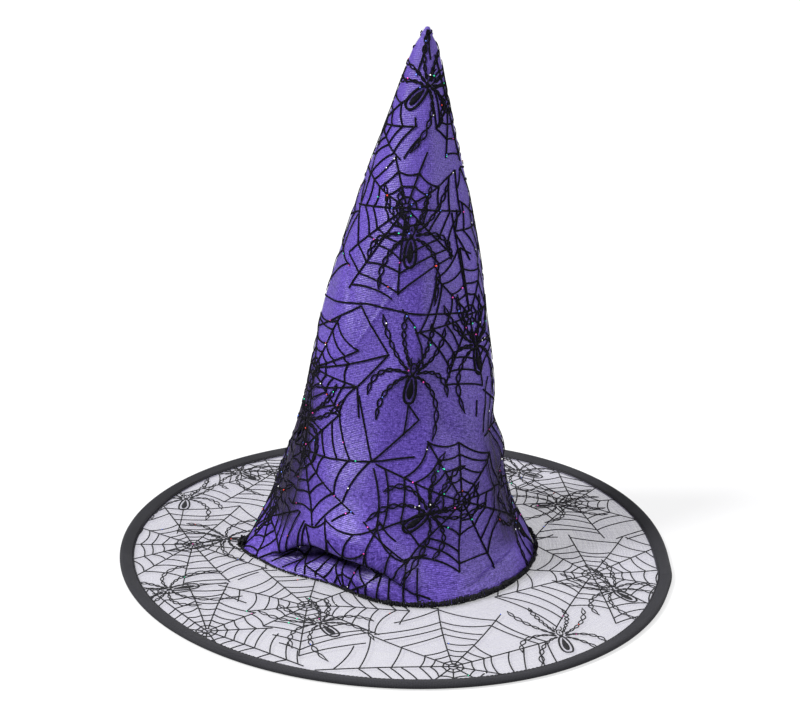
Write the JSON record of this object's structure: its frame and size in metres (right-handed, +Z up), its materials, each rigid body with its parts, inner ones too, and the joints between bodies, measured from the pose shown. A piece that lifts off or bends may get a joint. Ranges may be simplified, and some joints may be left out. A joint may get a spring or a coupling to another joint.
{
  "type": "witch hat",
  "caption": "Pointed costume hat: a sheer printed overlay over a satin cone, on a flat sheer brim whose bound edge hides a sprung wire hoop.",
  "frame": {"origin": "on the surface the brim lies on, in the middle of the brim's extents", "axes": "+Z up to the tip, +X to the hat's right side as seen from its front, +Y to the back, where the crown's seam is"},
  "size_m": [0.3698, 0.3766, 0.35],
  "materials": {
    "purple_satin": "satin with fine cross ribs",
    "crown_organza": "sheer organza with black flocked webs and glitter",
    "brim_organza": "sheer organza with dark flocked webs",
    "binding_tape": "ribbed matte tape",
    "black_thread": "matte spun thread",
    "seam_cloth": "overlocked satin edges",
    "hoop_steel": "drawn spring wire",
    "ferrule_zinc": "zinc plated"
  },
  "bodies": {
    "hat_base": {"brim_panel": "brim_organza", "brim_hoop": "hoop_steel", "hoop_ferrule": "ferrule_zinc", "brim_binding": "binding_tape", "binding_topstitch": "black_thread", "foot_overlock": "black_thread", "foot_lockstitch": "black_thread", "allowance_overlock": "black_thread", "crown_lining_lower": "purple_satin", "crown_overlay_lower": "crown_organza", "back_seam_lower": "seam_cloth", "crown_lining_bend": "purple_satin", "crown_overlay_bend": "crown_organza", "back_seam_bend": "seam_cloth"},
    "crown_tip": {"crown_lining_tip": "purple_satin", "crown_overlay_tip": "crown_organza", "back_seam_tip": "seam_cloth"}
  },
  "joints": [
    {"name": "crown_bend", "type": "hinge", "parent": "hat_base", "child": "crown_tip", "pos_m": [0.00375, 0.003, 0.2], "axis": [0, 1, 0], "range_deg": [-70, 70], "stiffness_Nm_per_rad": 0.08, "deforming": ["crown_lining_bend", "crown_overlay_bend", "back_seam_bend"]}
  ]
}
